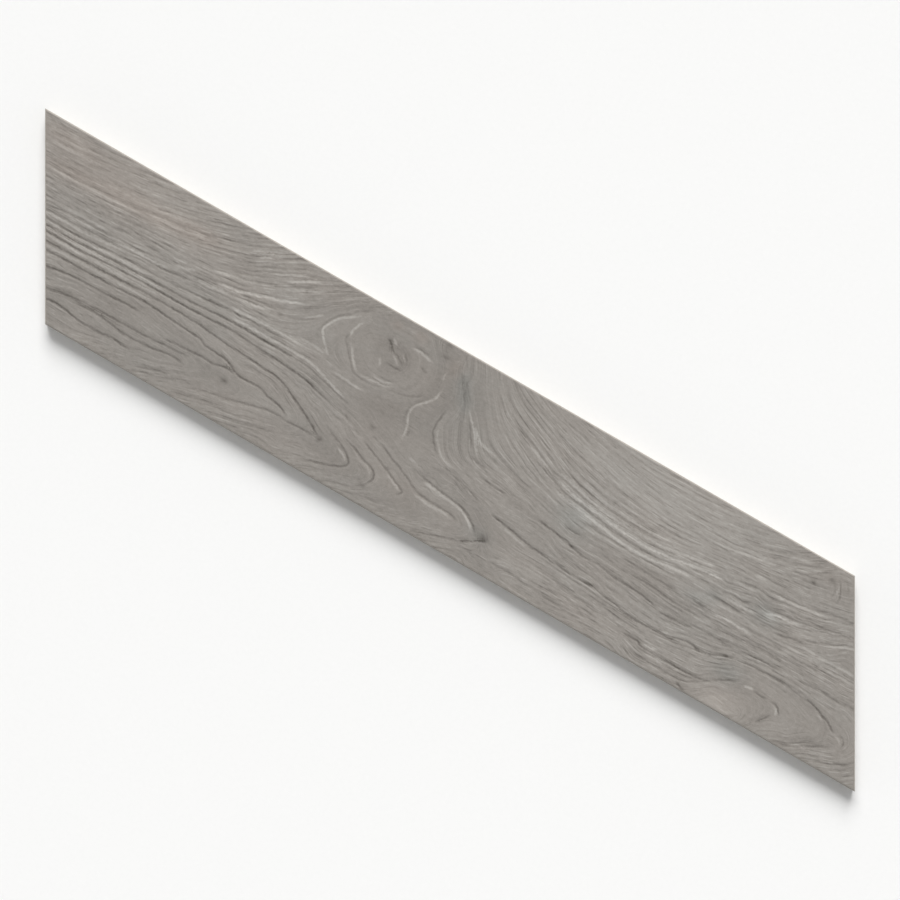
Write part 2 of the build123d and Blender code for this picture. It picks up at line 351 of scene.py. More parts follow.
    (0.4, ((-20, 53), (-16, 47.4), (-14, 44))),
    (0.35, ((-64, -11), (-61, -13.4), (-57, -16.6))),
    (0.35, ((-58, -17.2), (-53, -17.6), (-48, -18.4))),
    (0.35, ((-43, -15), (-38, -16.2))),
)

# Limed veins, where pale pigment has stayed in the grain: strength and points along the vein
LIMED_VEINS = (
    # the knot and the lines round it
    (0.65, ((-81, 42.8), (-89, 37), (-93, 34), (-96.5, 29), (-98.5, 24), (-97, 21.3), (-95, 18.5),
            (-92, 16), (-89.5, 13), (-85.5, 10.6))),
    (0.6, ((-79, 40.4), (-81.5, 36), (-83, 31.5), (-82.2, 27.2))),
    (0.65, ((-82.4, 26.4), (-78, 22), (-75.5, 18.6), (-73, 15.5), (-68, 11.1))),
    (0.5, ((-69, 11.5), (-62, 12), (-52, 13), (-45, 15.6))),
    (0.5, ((-62, 15.6), (-54, 14.6), (-46, 17.2))),
    (0.5, ((-84, 5.6), (-75, 5.3), (-67, 4.7), (-58, 4.8))),
    (0.5, ((-61.2, 40.2), (-58.6, 38.4), (-56, 36.6))),
    (0.45, ((-52, 34.6), (-49.8, 33.2), (-47.6, 30.6))),
    (0.55, ((-56.6, 31.6), (-53.3, 29.5), (-49.6, 26.4))),
    (0.45, ((-63, 26.4), (-60.6, 24), (-59, 21))),
    (0.5, ((-51, 39.8), (-44, 40.4), (-38, 39.3), (-31.5, 38.9))),
    # between the knot and the arrowheads
    (0.45, ((-23.5, 38.5), (-24.2, 35), (-23.8, 31.4))),
    (0.55, ((-21.2, 30), (-21.5, 25), (-22, 22), (-23.5, 19.5), (-26, 16.5), (-29, 13.5), (-31, 10),
            (-31, 6.5), (-30, 3), (-28.5, 0), (-27.5, -4), (-27, -10.5))),
    (0.4, ((-11.4, 11), (-11.6, 6), (-9.8, 2.2), (-7, -1.4), (-4, -4.6), (1, -7.2), (11, -9))),
    (0.6, ((-3.4, 27.6), (1, 22), (4, 19.5), (7, 16), (10, 12), (13, 7.4), (17.6, 3.8))),
    (0.6, ((4, 20.4), (8, 16.8), (12, 13.4), (17, 11.2), (27, 9.6))),
    # straight grain at the left, and lines that pass below the knot
    (0.5, ((-161, 40.8), (-155, 43.4), (-150, 46), (-144, 48.4), (-138, 50.6))),
    (0.5, ((-153, 40.6), (-146, 44.2), (-136, 49.8))),
    (0.65, ((-131, 36.4), (-126, 39), (-121, 42.2), (-116, 44.8), (-110, 47.6))),
    (0.45, ((-143, 35.6), (-134, 39.4), (-126, 43.4), (-118, 47.6))),
    (0.45, ((-131, 31.4), (-122, 35.4), (-114, 39.6), (-106, 44))),
    (0.5, ((-113, 23), (-106.7, 27.2), (-100.3, 32.3))),
    (0.5, ((-193, 13.2), (-184, 15), (-176, 16.8))),
    (0.6, ((-229, 7.4), (-220, 7.9), (-209, 8.5), (-200, 8.8), (-191, 9.2))),
    (0.4, ((-267, 8.8), (-257, 10), (-247, 10.6), (-240, 10.9), (-233, 11.2))),
    (0.5, ((-260, 6.2), (-249, 6.9), (-238, 7.2))),
    (0.45, ((-220, 11.3), (-213, 12.1), (-206, 12.9))),
    (0.5, ((-276, 2.4), (-262, 2.8), (-240, 3.6), (-219, 5.4))),
    (0.55, ((-277, -2), (-262, -2), (-245, -1.6), (-222, -0.4), (-200, 0.4))),
    (0.5, ((-274, -5.1), (-240, -5), (-215, -3.8), (-188, -2.8))),
    (0.45, ((-273, -9), (-240, -8.8), (-215, -7.8), (-188, -7))),
    (0.45, ((-271, -14.4), (-240, -13.3), (-215, -12.4), (-190, -11.6))),
    (0.35, ((-215, 36), (-198, 38.2), (-180, 42))),
    (0.3, ((-250, 33.4), (-228, 34.6), (-205, 37))),
    (0.3, ((-296, 46.9), (-284, 47.1), (-270, 48))),
    (0.3, ((-293, 43.6), (-280, 43.8), (-268, 44.9), (-258, 45.7))),
    (0.3, ((-291, 40), (-276, 40.2), (-262, 41.2), (-250, 42.4))),
    (0.4, ((-282, 26), (-255, 26.9), (-240, 27.5), (-230, 28.2), (-222, 29.4))),
    (0.35, ((-222, 30.8), (-210, 31.5), (-198, 32.7), (-188, 34.6), (-180, 36.4))),
    (0.35, ((-240, 41), (-230, 41.8), (-222, 42.8))),
    (0.75, ((-167, 16.4), (-155, 17.9), (-149, 19), (-142, 21.4), (-135, 23.6), (-128, 25.9),
            (-119, 29.3), (-112, 32.6))),
    (0.5, ((-172, 21), (-160, 24), (-150, 26), (-143, 27.8))),
    (0.7, ((-152, 14.2), (-140, 16), (-128, 18.3))),
    (0.65, ((-178, 11.3), (-170, 12.5), (-162, 13.4), (-153, 14.3))),
    (0.7, ((-152, 8.1), (-135, 9), (-120, 9.4), (-101, 9.8))),
    (0.6, ((-150, 3.1), (-135, 3.6), (-118, 4), (-100, 3.8), (-92, 2.6), (-84, 0.4), (-76, -2.4),
           (-66, -5))),
    (0.5, ((-112, 12.4), (-100, 13), (-88, 11.6))),
    # arrowheads
    (0.5, ((-58, -30.6), (-51, -34), (-50, -37))),
    (0.4, ((-46, -30.6), (-38, -32.3), (-34, -34.3), (-33, -38))),
    (0.55, ((-26, -29.6), (-16, -34), (-12.6, -35.6))),
    (0.5, ((-8, -32.2), (5, -33.8), (14, -33.6), (22, -35.2))),
    (0.6, ((-6, -23.2), (12, -25.5), (22, -26.9), (28, -29.7), (33, -33.3), (36, -37))),
    # long lines to the right
    (0.4, ((46, -23.2), (57, -25), (68, -26.8))),
    (0.85, ((61, 16.5), (69, 14.5), (76, 12.6), (85, 11.7), (95, 10.4), (101, 9.9), (111, 9.1),
            (120, 8.6), (130, 8.6), (139, 9.5), (147, 10.9), (159, 12.5), (169, 13.6), (179, 15.5))),
    (0.6, ((178, 15.8), (187, 16.8), (196, 17.7))),
    (0.65, ((62, 11), (73, 9.1), (81, 7.7), (91, 6.2), (100, 5), (108, 3.6), (122, 2.9), (132, 3.3),
            (142, 4.7), (150, 5.8), (159, 6))),
    (0.85, ((176, -6.5), (184, -5.3), (192, -5), (207, -5.6))),
    (0.45, ((160, 30.6), (170, 31.5), (180, 33.6), (190, 35.3), (200, 38))),
    (0.5, ((187, 24.8), (191, 26), (198, 26.4))),
    (0.95, ((203, 8.4), (208, 10.4), (212, 11.6), (217, 12), (222, 12.5), (228, 13.8))),
    (0.55, ((228, 14.4), (235, 15.4), (241, 16.8), (247, 18.2))),
    (0.7, ((242, 8.6), (250, 12.8), (254, 14.8), (259, 16.6), (268, 19.8))),
    (0.6, ((178, 6.1), (190, 6), (202, 6.2))),
    (0.65, ((201, 21.2), (209, 21.7), (217, 22.3), (224, 23.2), (230, 24), (236, 25.3), (241, 26.4))),
    (0.55, ((230, 2.8), (238, 3.2), (250, 2.9), (258, 3.2), (270, 3.6))),
    (0.4, ((222, -0.8), (236, -0.7), (252, -0.9), (272, -1.2))),
    # the small knot at the upper right
    (0.45, ((209.5, 40.2), (216, 43.6), (224, 47.8))),
    (0.4, ((232, 47), (234.4, 42.6), (235.8, 37.6))),
    (0.4, ((199, 43.4), (207, 46.4), (216, 48.8))),
    # the eye at the lower right
    (0.5, ((273, -31.6), (278, -33), (281, -36))),
    (0.7, ((236, -34.6), (238.4, -36.6), (239, -40))),
    (0.75, ((213.5, -33.2), (217, -32.6), (222, -32.4))),
    (0.8, ((150.5, -41.9), (154, -41.5), (162, -40.2))),
    (0.55, ((153, -45.4), (166, -45.2), (177, -44.8), (184, -44.4))),
    (0.45, ((259, -26.3), (265, -27.9))),
    (0.45, ((251, -50.6), (258, -47.8), (267, -44.6))),
    # more of the long lines to the right, and one above the arrowheads
    (0.45, ((157, -29.4), (165, -29.2))),
    (0.5, ((35, 25.6), (42, 24.2), (48, 21.6), (58, 18.4))),
    (0.5, ((60, 20.8), (71, 18.4), (84, 15.6), (96, 13.8), (111, 12.7), (124, 12.9), (136, 13.3),
           (147, 15.1), (158, 16.8), (169, 18.4))),
    (0.4, ((75, 21.6), (90, 18.8), (96, 18.2), (110, 17.2), (122, 16.9), (132, 17.5), (140, 18.4))),
    (0.35, ((-21, -14.4), (-14, -16.6), (-7, -18.8))),
)

# Dark specks and stains: place, half length, half width, strength
STAINS = (
    (-133, -30.5, 2.4, 1.2, 0.8),
    (-123.5, 18.5, 1.4, 1.3, 0.5),
    (41, -34.5, 6.5, 4, 0.3),
    (42.5, -34.8, 2.6, 1.8, 0.6),
    (220, 38.7, 1.8, 1.3, 0.9),
    (229, 45, 2.4, 1.7, 0.6),
    (-29, 45, 2.4, 1.1, 0.6),
    (-30, 52, 2.2, 1.6, 0.5),
    (-68.5, -32.5, 1.6, 1.6, 0.7),
    (-34, -43, 2.2, 1.1, 0.7),
    (151, -5, 2.6, 1.1, 0.5),
    (170, -5, 2.4, 1.1, 0.5),
    (181, -28, 2.8, 1.2, 0.6),
    (109, -27, 4, 1.2, 0.6),
    (89, -13, 1.7, 1.2, 0.5),
    (197, -23.8, 1.8, 1.4, 0.5),
    (-234, -33, 7, 2, 0.3),
    (-45.5, -11.6, 2.2, 1.4, 0.5),
    (-26, -27, 1.6, 1, 0.6),
    (32, -42, 3, 1.2, 0.6),
    (98, 21.6, 1.6, 1, 0.5),
    (207.5, 2.5, 2, 1, 0.5),
    (-84, 27.6, 1, 1.4, 0.4),
    (-61, 38, 1.6, 1.2, 0.4),
)

# Broad changes of tone: place, half length, half width, lightness and warmth
CLOUDS = (
    (-235, 40, 75, 18, 0.08, 0.5),
    (-280, 45, 24, 7, 0.0, 0.6),
    (-262, 29, 26, 5, 0.0, 0.7),
    (-222, 32, 24, 5, 0.0, 0.8),
    (-188, 36, 18, 5, 0.0, 0.7),
    (-150, 24, 60, 12, 0.01, 0.1),
    (-122, 46, 18, 9, 0.03, 0.2),
    (-200, -4, 50, 14, 0.04, 0.0),
    (100, 42, 70, 22, 0.09, 0.1),
    (160, 32, 60, 24, 0.06, 0.0),
    (120, 8, 60, 9, 0.06, 0.0),
    (60, -38, 22, 8, 0.08, 0.2),
    (208, -46, 14, 7, 0.15, 0.6),
    (206, -51, 20, 4, 0.06, 0.2),
    (235, 2, 40, 7, 0.06, 0.0),
    (245, 24, 25, 12, 0.03, 0.0),
    (-55, 34, 45, 24, -0.08, 0.0),
    (-5, 30, 14, 22, -0.05, -0.2),
    (-13, 38, 4, 5, -0.03, -1.0),
    (-9, 32, 4, 5, -0.03, -1.0),
    (-5, 26, 4, 5, -0.03, -0.8),
    (-21, 42, 5, 6, 0.0, 0.8),
    (-47, 48, 5, 4, 0.02, 0.9),
    (-62, 47, 4, 3, 0.02, 0.8),
    (-45, 2, 26, 10, -0.095, 0.0),
    (-15, 0, 28, 18, -0.02, 0.0),
    (-160, -28, 90, 16, -0.05, 0.0),
    (-20, -42, 60, 12, -0.07, 0.0),
    (81, 1, 11, 9, -0.02, -1.0),
    (165, -3, 9, 4, 0.0, -0.7),
    (173, 3, 6, 4, 0.0, -0.7),
    (38, -34, 8, 5, -0.02, -0.8),
    (208.5, 8.6, 4, 2.5, 0.12, 0.0),
    (203, 12.5, 6, 3.5, -0.06, -0.3),
    (150, -32, 60, 12, 0.03, 0.0),
    (203, -31, 10, 6, -0.07, -0.9),
    (244, -35, 26, 11, -0.04, 0.0),
    (206, 8, 9, 6, -0.02, -0.9),
    (-148, -8, 9, 4, 0.02, -0.3),
)

# Places where the grain between the veins is quiet: place, half length, half width and strength
CALM = (
    (-62, 31, 36, 24, 0.95),
    (-22, 16, 24, 40, 0.9),
    (-48, 0, 34, 14, 0.8),
    (-35, -36, 80, 20, 0.8),
    (-180, -30, 70, 20, 0.75),
    (-190, -4, 95, 13, 0.55),
    (218, -42, 26, 11, 0.9),
    (254, -34, 24, 11, 0.9),
    (236, -27, 30, 6, 0.4),
    (234, 42, 12, 10, 0.85),
    (120, -8, 60, 12, 0.45),
    (45, -18, 30, 20, 0.5),
    (2, 38, 10, 16, 0.6),
    (-133, -30, 26, 9, 0.5),
    (-91, 27, 8, 14, 0.6),
    (-58, 28, 28, 20, 0.5),
    (-262, 40, 36, 15, 0.6),
    (3, 44, 7, 9, 0.5),
    (11, 29, 8, 9, 0.6),
    (24, 18, 12, 7, 0.55),
    (-102, 17, 8, 6, 0.8),
    (-62, -33, 9, 6, 0.7),
    (-6, -38, 10, 6, 0.6),
    (278, -22, 10, 9, 0.7),
    (287, -38, 8, 8, 0.6),
    (262, 8, 9, 6, 0.7),
    (44, -34, 9, 7, 0.8),
    (22, -34, 14, 6, 0.5),
    (-92, -31, 12, 6, 0.7),
    (-108, 27, 12, 12, 0.55),
    (95, 44, 60, 14, 0.35),
)

# Growth rings: distance between the places that hold their field, its scale and slack, and least pace
RING_STEP = 12.0
RING_SPAN = 100.0
RING_SLACK = 2e-4
SLOWEST_PACE = 0.02
TINY = 1e-9

# Veins: how they are drawn, sway, fade, break and are sunk, with lengths in millimetres
VEIN_STEP = 0.4
VEIN_TAPER = 7.0
VEIN_WOBBLE = 0.3
LONG_SWAY = 4.5
SHORT_SWAY = 1.7
BREAK_LENGTH = 6.0
BREAK_LEAST = 0.55
BREAK_RANGE = 0.65
VEIN_REACH = (1.3, 1.9)
GROOVE_HALF_WIDTH = 0.8
LIME_DEPTH_SHARE = 0.4
SPECK_DEPTH_SHARE = 0.3

# Random values: size of their lattice, rows between two veins, and seeds
LATTICE_SIZE = 256
VEIN_ROWS = 7.3
STAIN_SEED = 21
LIME_SEED = 31

# Streaks between the veins: cells in each ring, length of a cell, seed and share
STREAKS = ((0.85, 42.0, 11, 0.6), (1.9, 26.0, 12, 0.4))
STREAK_GAIN = 1.1

# Fine grain of the print: seeds, rows of noise between two lines, and where twice as many lines take over
LINE_SEED = 3.0
PORE_SEED = 21.0
LEVEL_PORE_SEED = 33.0
LINE_ROWS = 5.17
TAKE_OVER = (0.3, 0.7)

# Paces between which the grain begins to follow the rings, slope of the rest, and pores in calm places
RINGED_PACE = (0.04, 0.10)
LEVEL_SLOPE = 0.03
CALM_PORES = 0.25

# Heights on the back, in millimetres, between which the kiln wash ends
WASH_HEIGHTS = (0.05, 0.4)

# Places of the charts in the baking map: lowest height and height
FACE_CHART = (0.300, 0.698)
BACK_CHART = (0.070, 0.220)
EDGE_CHART = (0.004, 0.011)
EDGE_CHART_STEP = 0.016
CHART_INSET = 0.002

# Material slots of the piece
FACE, EDGE, BACK = range(3)

# The way up, and how closely the faces of one edge have to look the same way
UP = Vector((0, 0, 1))
SAME_PLANE = 0.9999
SAME_SIDE = 0.99
UPRIGHT = 0.01

# Stage
FLOOR_CELLS = 80
FLOOR_GAP = 0.05 * MM
FLOOR_SHADE = 0.97
SKY_COLOUR = (1.0, 1.0, 1.0, 1.0)
VIEW_END = 100.0


def paint(red, green, blue):
    """Turns a colour as seen on a screen, 0 to 255, into the values that light is reckoned in."""
    shares = (channel / 255 for channel in (red, green, blue))
    return tuple(s / 12.92 if s <= 0.04045 else ((s + 0.055) / 1.055) ** 2.4 for s in shares)


def ease(value):
    """Goes smoothly from 0 to 1 as the value does."""
    value = np.clip(value, 0.0, 1.0)
    return value * value * (3.0 - 2.0 * value)


def smooth_path(points, step):
    """Gives places about one step apart on a smooth curve through the points."""
    knots = np.array(points, float)
    knots = np.vstack([2 * knots[0] - knots[1], knots, 2 * knots[-1] - knots[-2]])
    places = []
    for before, start, end, after in zip(knots, knots[1:], knots[2:], knots[3:]):
        count = max(1, round(math.dist(start, end) / step))
        t = (np.arange(count) / count)[:, None]
        bend = (2 * before - 5 * start + 4 * end - after) * t**2
        twist = (3 * start - before - 3 * end + after) * t**3
        places.append(0.5 * (2 * start + (end - before) * t + bend + twist))
    places.append(knots[-2:-1])
    return np.vstack(places)


def plate_kernel(distance_squared):
    """How a thin plate bends round a point that holds it."""
    return distance_squared * np.log(distance_squared + TINY)


def ring_field(x, y):
    """Spreads the ring numbers of the growth lines over the face, as a thin plate held at the lines."""
    held = []
    rings = []
    for ring, points in GROWTH_LINES:
        path = smooth_path(points, RING_STEP)
        held.append(path)
        rings.extend([ring] * len(path))
    held = np.vstack(held) / RING_SPAN
    count = len(held)
    apart = ((held[:, None] - held[None]) ** 2).sum(-1)
    system = np.zeros((count + 3, count + 3))
    system[:count, :count] = plate_kernel(apart) + RING_SLACK * np.eye(count)
    system[:count, count] = 1
    system[count, :count] = 1
    system[:count, count + 1:] = held
    system[count + 1:, :count] = held.T
    weights = np.linalg.solve(system, np.array(rings + [0.0, 0.0, 0.0]))
    field = []
    for row_x, row_y in zip(x / RING_SPAN, y / RING_SPAN):
        apart = (row_x[:, None] - held[:, 0]) ** 2 + (row_y[:, None] - held[:, 1]) ** 2
        level = weights[-3] + row_x * weights[-2] + row_y * weights[-1]
        field.append(plate_kernel(apart) @ weights[:count] + level)
    return np.array(field)


def ring_pace(ring, x, y):
    """How many rings are passed in each millimetre, over a grid whose rows run along x."""
    by_column = np.gradient(ring, axis=1) / np.gradient(x, axis=1)
    lean = np.gradient(x, axis=0)
    by_row = (np.gradient(ring, axis=0) - by_column * lean) / np.gradient(y, axis=0)
    return np.hypot(by_column, by_row)


def lattice_noise(u, v, seed):
    """Smooth random values from 0 to 1, with forms about one unit of u and v across."""
    lattice = np.random.default_rng(seed).random((LATTICE_SIZE, LATTICE_SIZE))
    i = np.floor(u).astype(int)
    j = np.floor(v).astype(int)
    across = ease(u - i)
    along = ease(v - j)
    left, right = i % LATTICE_SIZE, (i + 1) % LATTICE_SIZE
    low, high = j % LATTICE_SIZE, (j + 1) % LATTICE_SIZE
    near = lattice[left, low] * (1 - across) + lattice[right, low] * across
    far = lattice[left, high] * (1 - across) + lattice[right, high] * across
    return near * (1 - along) + far * along


def draw_veins(veins, seed):
    """Gives places close together along the veins, with the heading and the strength at each."""
    places = []
    headings = []
    strengths = []
    for number, (strength, points) in enumerate(veins):
        path = smooth_path(points, VEIN_STEP)
        steps = np.linalg.norm(np.diff(path, axis=0), axis=1)
        run = np.concatenate([[0.0], np.cumsum(steps)])
        row = np.full(len(run), number * VEIN_ROWS)
        heading = np.gradient(path, axis=0)
        heading /= np.linalg.norm(heading, axis=1)[:, None]
        sideways = np.stack([-heading[:, 1], heading[:, 0]], 1)
        sway = lattice_noise(run / LONG_SWAY, row, seed)
        sway = sway + lattice_noise(run / SHORT_SWAY, row, seed + 1) - 1.0
        places.append(path + sideways * (sway * VEIN_WOBBLE)[:, None])
        headings.append(heading)
        taper = ease(np.minimum(run, run[-1] - run) / np.minimum(VEIN_TAPER, run[-1] / 3))
        breaks = BREAK_LEAST + BREAK_RANGE * lattice_noise(run / BREAK_LENGTH, row, seed + 2)
        strengths.append(strength * taper * np.minimum(breaks, 1.0))
    return np.vstack(places), np.vstack(headings), np.concatenate(strengths)


def vein_field(x, y, veins, seed):
    """Strength of the nearest vein at each place, and how far the place lies to the left of its line."""
    places, headings, strengths = draw_veins(veins, seed)
    tree = kdtree.KDTree(len(places))
    for index, (px, py) in enumerate(places):
        tree.insert((px, py, 0.0), index)
    tree.balance()
    found = [tree.find((px, py, 0.0)) for px, py in zip(x.ravel(), y.ravel())]
    nearest = np.array([index for _, index, _ in found]).reshape(x.shape)
    gap = np.array([distance for _, _, distance in found]).reshape(x.shape)
    off_x = x - places[nearest, 0]
    off_y = y - places[nearest, 1]
    to_left = headings[nearest, 0] * off_y - headings[nearest, 1] * off_x
    near = 1 - ease((gap - VEIN_REACH[0]) / (VEIN_REACH[1] - VEIN_REACH[0]))
    return strengths[nearest] * near, np.copysign(np.minimum(gap, VEIN_REACH[1]), to_left)


def spot_field(x, y, spots):
    """Adds up soft oval spots: place, half length, half width and strength."""
    total = np.zeros_like(x)
    for px, py, half_length, half_width, strength in spots:
        total += strength * np.exp(-((x - px) / half_length) ** 2 - ((y - py) / half_width) ** 2)
    return total


def draw_figure(x, y):
    """Works out every part of the print over a grid of places on the face."""
    figure = {"ring": ring_field(x, y)}
    figure["pace"] = np.maximum(ring_pace(figure["ring"], x, y), SLOWEST_PACE)
    streak = 0.0
    for cells, length, seed, share in STREAKS:
        streak = streak + share * lattice_noise(figure["ring"] * cells, (x + y) / length, seed)
    figure["streak"] = ease(0.5 + STREAK_GAIN * (streak - 0.5))
    figure["stain"], figure["stain_side"] = vein_field(x, y, STAINED_VEINS, STAIN_SEED)
    figure["lime"], figure["lime_side"] = vein_field(x, y, LIMED_VEINS, LIME_SEED)
    figure["spots"] = spot_field(x, y, STAINS)
    figure["tone"] = spot_field(x, y, [cloud[:5] for cloud in CLOUDS])
    figure["warm"] = spot_field(x, y, [cloud[:4] + cloud[5:] for cloud in CLOUDS])
    figure["calm"] = np.clip(spot_field(x, y, CALM), 0, 1)
    return figure


class Wire:
    """A value in a material's node tree, with the arithmetic that the finishes are written in."""

    def __init__(self, finish, socket):
        self.finish = finish
        self.socket = socket

    def __add__(self, other):
        return self.finish.maths("ADD", self, other)

    def __sub__(self, other):
        return self.finish.maths("SUBTRACT", self, other)

    def __rsub__(self, other):
        return self.finish.maths("SUBTRACT", other, self)

    def __mul__(self, other):
        return self.finish.maths("MULTIPLY", self, other)

    __radd__ = __add__
    __rmul__ = __mul__


class Finish:
    """One material and the nodes that are added to it."""

    def __init__(self, name):
        self.material = bpy.data.materials.new(name)
        self.material.use_nodes = True
        self.tree = self.material.node_tree
        self.tree.nodes.clear()

    def node(self, kind, settings, sockets, output=""):
        """Adds a node with its settings and the values or links of its sockets, and gives an output."""
        made = self.tree.nodes.new(kind)
        for name, value in settings.items():
            if name == "stops":
                self.set_stops(made.color_ramp, value)
            else:
                setattr(made, name, value)
        for name, value in sockets.items():
            if isinstance(name, str):
                socket = next(s for s in made.inputs if s.name == name and s.enabled)
            else:
                socket = made.inputs[name]
            if isinstance(value, Wire):
                self.tree.links.new(value.socket, socket)
            else:
                socket.default_value = value
        outputs = [s for s in made.outputs if s.enabled and output in ("", s.name)]
        return Wire(self, outputs[0]) if outputs else None

    @staticmethod
    def set_stops(ramp, stops):
        while len(ramp.elements) < len(stops):
            ramp.elements.new(1.0)
        for element, (position, colour) in zip(ramp.elements, stops):
            element.position = position
            element.color = (*colour, 1.0)

    def maths(self, operation, *values):
        return self.node("ShaderNodeMath", {"operation": operation}, dict(enumerate(values)))

    def attribute(self, name):
        return self.node("ShaderNodeAttribute", {"attribute_name": name}, {}, "Fac")

    def place(self):
        """The place on the piece, in millimetres along each axis."""
        there = self.node("ShaderNodeTexCoord", {}, {}, "Object")
        scaled = self.node("ShaderNodeVectorMath", {"operation": "SCALE"}, {"Vector": there, "Scale": 1 / MM})
        return [self.node("ShaderNodeSeparateXYZ", {}, {"Vector": scaled}, axis) for axis in "XYZ"]

    def noise(self, x, y, z, detail=2.0, roughness=0.5):
        """Cloudy noise, 0 to 1, with forms about one unit of x, y and z across."""
        there = self.node("ShaderNodeCombineXYZ", {}, {"X": x, "Y": y, "Z": z})
        sockets = {"Vector": there, "Scale": 1.0, "Detail": detail, "Roughness": roughness}
        return self.node("ShaderNodeTexNoise", {"noise_dimensions": "3D"}, sockets)

    def between(self, value, low, high):
        """Goes smoothly from 0 at the low value to 1 at the high one."""
        sockets = {"Value": value, "From Min": low, "From Max": high}
        return self.node("ShaderNodeMapRange", {"interpolation_type": "SMOOTHSTEP"}, sockets)

    def along_rings(self, family, ring, pace, along, spacing, seed):
        """Draws a family of lines along the rings, as near as may be one spacing apart.

        Each time that the rings spread to twice the spacing, twice as many lines take over."""
        octave = self.maths("LOGARITHM", self.maths("DIVIDE", 1 / spacing, pace), 2.0)
        whole = self.maths("FLOOR", octave)
        share = self.between(octave - whole, *TAKE_OVER)
        wide = family(ring * self.maths("POWER", 2.0, whole), along, seed)
        close = family(ring * self.maths("POWER", 2.0, whole + 1.0), along, seed)
        return wide * (1 - share) + close * share

    def rows(self, phase):
        """The number of the row that a phase is in, and how far it is from the row's middle."""
        number = self.maths("FLOOR", phase)
        return number, self.maths("ABSOLUTE", phase - number - 0.5)

    def growth_lines(self, phase, along, seed):
        """One broken line in each unit of the phase: -1 on it, 0 beside it and 0.5 halfway to the next."""
        sway = self.noise(phase * 0.15, along * 0.03, seed, detail=1.0) - 0.5
        shake = self.noise(phase * 0.6, along * 0.3, seed + 5.0) - 0.5
        number, reach = self.rows(phase + sway * 0.8 + shake * 0.3)
        breaks = self.noise(number * LINE_ROWS, along * 0.03, seed + 9.0, detail=4.0, roughness=0.6)
        shade = self.between(reach, 0.26, 0.50) * 0.5 + self.between(reach, 0.03, 0.26) - 1
        return shade * self.between(breaks, 0.38, 0.66)

    def pore_dashes(self, phase, along, seed):
        """One row of fine dashes in each unit of the phase: 1 on a pale dash and -1 on a dark one."""
        shake = self.noise(phase * 0.3, along * 0.12, seed, detail=1.0) - 0.5
        number, reach = self.rows(phase + shake * 0.8)
        dash = self.noise(number * LINE_ROWS, along * 0.07, seed + 9.0, detail=3.0, roughness=0.6)
        tone = self.between(dash, 0.50, 0.68) + self.between(dash, 0.32, 0.50) - 1
        return tone * (1 - self.between(reach, 0.15, 0.5))

    def ramp(self, share, *stops):
        """Goes through the colours of the stops as the share goes from 0 to 1."""
        return self.node("ShaderNodeValToRGB", {"stops": stops}, {"Fac": share}, "Color")

    def blend(self, share, colour, over, kind="MIX"):
        """Lays a share of one colour over another."""
        sockets = {"Factor": share, "A": colour, "B": (*over, 1.0)}
        return self.node("ShaderNodeMix", {"data_type": "RGBA", "blend_type": kind}, sockets, "Result")

    def bump(self, height, depth):
        """Shades the surface as if it rose by the height times the depth."""
        return self.node("ShaderNodeBump", {}, {"Strength": 1.0, "Distance": depth, "Height": height})

    def close(self, **sockets):
        """Ends the tree in a surface shader with these sockets."""
        named = {name.replace("_", " "): value for name, value in sockets.items()}
        surface = self.node("ShaderNodeBsdfPrincipled", {}, named)
        self.node("ShaderNodeOutputMaterial", {}, {"Surface": surface})
        return self.material


